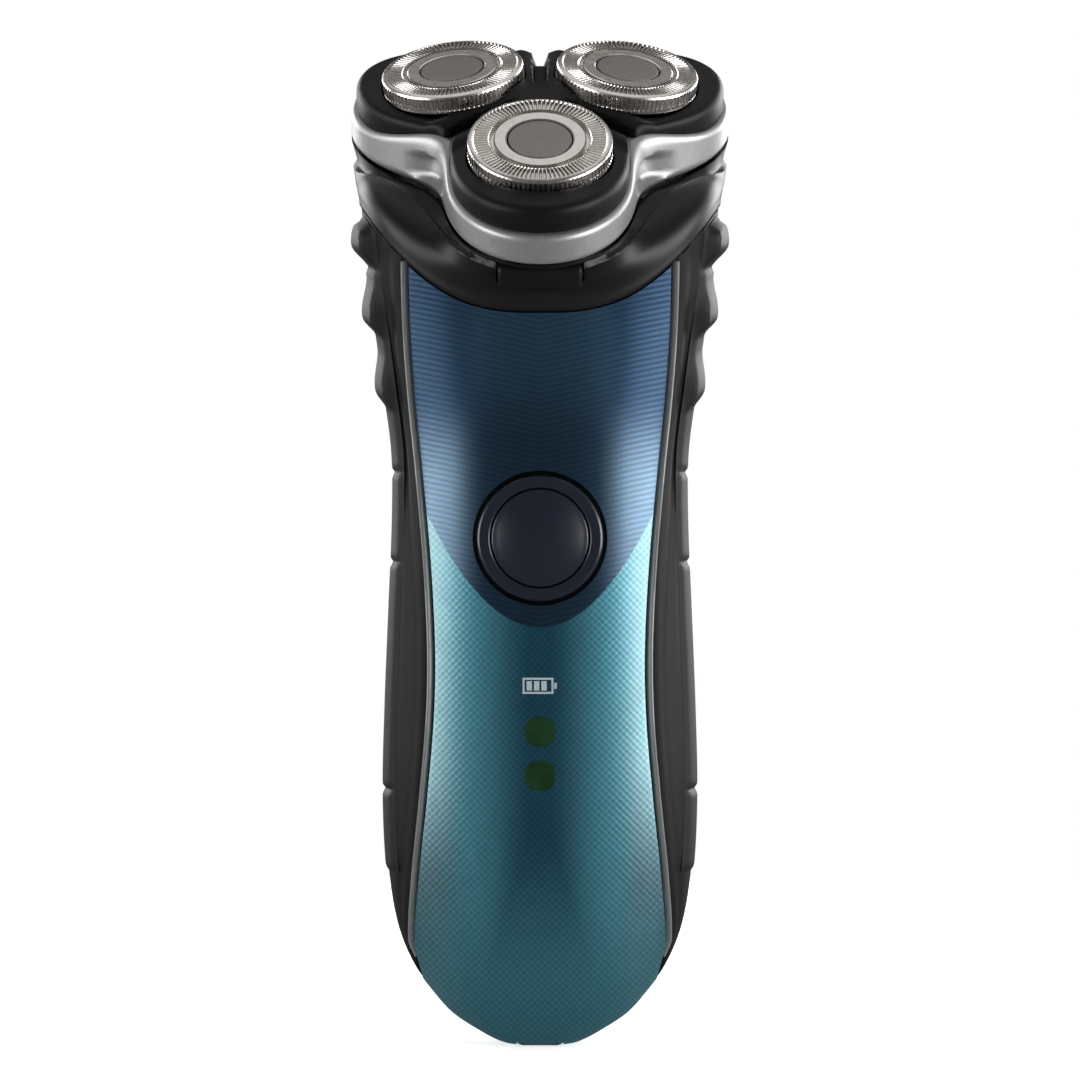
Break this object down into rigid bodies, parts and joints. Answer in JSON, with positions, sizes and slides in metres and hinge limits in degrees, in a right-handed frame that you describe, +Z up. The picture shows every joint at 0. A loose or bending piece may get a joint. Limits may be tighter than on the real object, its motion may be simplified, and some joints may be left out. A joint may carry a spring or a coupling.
{
  "type": "rotary electric shaver",
  "caption": "Rotary electric shaver with floating heads on a tilting, hinged unit, a ribbed grip handle, a front power button and a pop-up trimmer at the back.",
  "frame": {"origin": "middle of the bounding box at the lower end of the handle", "axes": "+Z up along the handle to the heads, -Y out of the front panel, +X to the right seen from the front"},
  "size_m": [0.0578, 0.0559, 0.153],
  "materials": {
    "blue_lacquer": "metallic blue lacquer with a fine pressed weave, clear gloss over it",
    "black_gloss": "high gloss black",
    "black_plastic": "fine moulded satin black",
    "black_rubber": "matte soft-touch rubber",
    "grey_trim": "satin grey",
    "blue_black_gloss": "gloss blue-black",
    "silver_paint": "satin silver paint on plastic",
    "steel": "polished and fine turned steel",
    "white_nylon": "natural nylon",
    "board_green": "solder mask",
    "cell_wrap": "shrink wrap on a steel can",
    "led_green": "tinted clear lens",
    "lead_red": "insulated wire",
    "lead_black": "insulated wire"
  },
  "bodies": {
    "handle": {"front_panel": "blue_lacquer", "collar": "black_gloss", "rear_housing": "black_plastic", "charging_socket": "black_plastic", "tact_switch": "black_plastic", "hair_chamber": "black_plastic", "trimmer_bay": "black_plastic", "side_grip_left": "black_rubber", "side_grip_right": "black_rubber", "spindle_seal_front": "black_rubber", "spindle_seal_left": "black_rubber", "spindle_seal_right": "black_rubber", "side_rail_left": "grey_trim", "side_rail_right": "grey_trim", "button_ring": "blue_black_gloss", "hinge_pin": "steel", "trimmer_pin": "steel", "socket_pin_front": "steel", "socket_pin_rear": "steel", "motor_case": "steel", "motor_plate": "steel", "release_spring": "steel", "board_screw_left": "steel", "board_screw_right": "steel", "battery_link": "steel", "chassis": "white_nylon", "gear_plate": "white_nylon", "circuit_board": "board_green", "battery_cell_left": "cell_wrap", "battery_cell_right": "cell_wrap", "led_lower": "led_green", "led_upper": "led_green", "motor_lead_red": "lead_red", "motor_lead_black": "lead_black"},
    "power_button": {"power_button": "blue_black_gloss"},
    "release_button": {"release_button": "black_plastic"},
    "shaving_unit": {"trim_band": "silver_paint", "head_holder": "black_gloss", "retaining_frame": "black_plastic"},
    "lock_wheel": {"lock_wheel": "white_nylon"},
    "motor_rotor": {"motor_pinion": "steel"},
    "trimmer": {"trimmer_housing": "black_gloss", "trimmer_comb": "steel"},
    "trimmer_blade": {"trimmer_blade": "steel"},
    "trimmer_slider": {"trimmer_slider": "black_rubber"},
    "guard_front": {"guard_front": "steel", "guard_cap_front": "grey_trim"},
    "cutter_front": {"cutter_front": "steel"},
    "spindle_front": {"drive_gear_front": "white_nylon"},
    "guard_left": {"guard_left": "steel", "guard_cap_left": "grey_trim"},
    "cutter_left": {"cutter_left": "steel"},
    "spindle_left": {"drive_gear_left": "white_nylon"},
    "guard_right": {"guard_right": "steel", "guard_cap_right": "grey_trim"},
    "cutter_right": {"cutter_right": "steel"},
    "spindle_right": {"drive_gear_right": "white_nylon"}
  },
  "joints": [
    {"name": "power_press", "type": "slide", "parent": "handle", "child": "power_button", "axis": [0, 1, 0], "range_m": [0, 0.001], "stiffness_N_per_m": 1500, "springref_m": -0.0005},
    {"name": "release_press", "type": "slide", "parent": "handle", "child": "release_button", "axis": [0, 0.848, 0.5299], "range_m": [0, 0.001], "stiffness_N_per_m": 1200, "springref_m": -0.0005},
    {"name": "unit_hinge", "type": "hinge", "parent": "handle", "child": "shaving_unit", "pos_m": [0, 0.023, 0.14525], "axis": [-1, 0, 0], "range_deg": [0, 100]},
    {"name": "lock_turn", "type": "hinge", "parent": "shaving_unit", "child": "lock_wheel", "pos_m": [0, 0.0014, 0.1334], "axis": [0, -0.5299, 0.848], "range_deg": [0, 40]},
    {"name": "motor_spin", "type": "hinge", "parent": "handle", "child": "motor_rotor", "pos_m": [0, 0.0014, 0.1334], "axis": [0, -0.5299, 0.848], "continuous": true},
    {"name": "trimmer_hinge", "type": "hinge", "parent": "handle", "child": "trimmer", "pos_m": [0, 0.0238, 0.1205], "axis": [-1, 0, 0], "range_deg": [0, 60]},
    {"name": "trimmer_stroke", "type": "slide", "parent": "trimmer", "child": "trimmer_blade", "axis": [1, 0, 0], "range_m": [-0.0008, 0.0008]},
    {"name": "trimmer_release", "type": "slide", "parent": "handle", "child": "trimmer_slider", "axis": [0, -0.2504, -0.9681], "range_m": [0, 0.005], "stiffness_N_per_m": 400, "springref_m": -0.001},
    {"name": "guard_float_front", "type": "slide", "parent": "shaving_unit", "child": "guard_front", "axis": [0, 0.6361, -0.7716], "range_m": [0, 0.0015], "stiffness_N_per_m": 500, "springref_m": -0.001},
    {"name": "guard_float_left", "type": "slide", "parent": "shaving_unit", "child": "guard_left", "axis": [0.113, 0.47, -0.8754], "range_m": [0, 0.0015], "stiffness_N_per_m": 500, "springref_m": -0.001},
    {"name": "guard_float_right", "type": "slide", "parent": "shaving_unit", "child": "guard_right", "axis": [-0.113, 0.47, -0.8754], "range_m": [0, 0.0015], "stiffness_N_per_m": 500, "springref_m": -0.001},
    {"name": "cutter_spin_front", "type": "hinge", "parent": "guard_front", "child": "cutter_front", "pos_m": [0, -0.01828, 0.13584], "axis": [0, -0.6361, 0.7716], "continuous": true},
    {"name": "cutter_spin_left", "type": "hinge", "parent": "guard_left", "child": "cutter_left", "pos_m": [-0.01334, 0.00131, 0.14808], "axis": [-0.113, -0.47, 0.8754], "continuous": true},
    {"name": "cutter_spin_right", "type": "hinge", "parent": "guard_right", "child": "cutter_right", "pos_m": [0.01334, 0.00131, 0.14808], "axis": [0.113, -0.47, 0.8754], "continuous": true},
    {"name": "drive_spin_front", "type": "hinge", "parent": "handle", "child": "spindle_front", "pos_m": [0, -0.0109, 0.12572], "axis": [0, -0.5299, 0.848], "continuous": true},
    {"name": "drive_spin_left", "type": "hinge", "parent": "handle", "child": "spindle_left", "pos_m": [-0.01256, 0.00755, 0.13724], "axis": [0, -0.5299, 0.848], "continuous": true},
    {"name": "drive_spin_right", "type": "hinge", "parent": "handle", "child": "spindle_right", "pos_m": [0.01256, 0.00755, 0.13724], "axis": [0, -0.5299, 0.848], "continuous": true}
  ],
  "couplings": [
    {"joint": "motor_spin", "follows": "drive_spin_front", "ratio": -2},
    {"joint": "drive_spin_left", "follows": "drive_spin_front", "ratio": 1},
    {"joint": "drive_spin_right", "follows": "drive_spin_front", "ratio": 1},
    {"joint": "cutter_spin_front", "follows": "drive_spin_front", "ratio": 1},
    {"joint": "cutter_spin_left", "follows": "drive_spin_front", "ratio": 1},
    {"joint": "cutter_spin_right", "follows": "drive_spin_front", "ratio": 1}
  ]
}
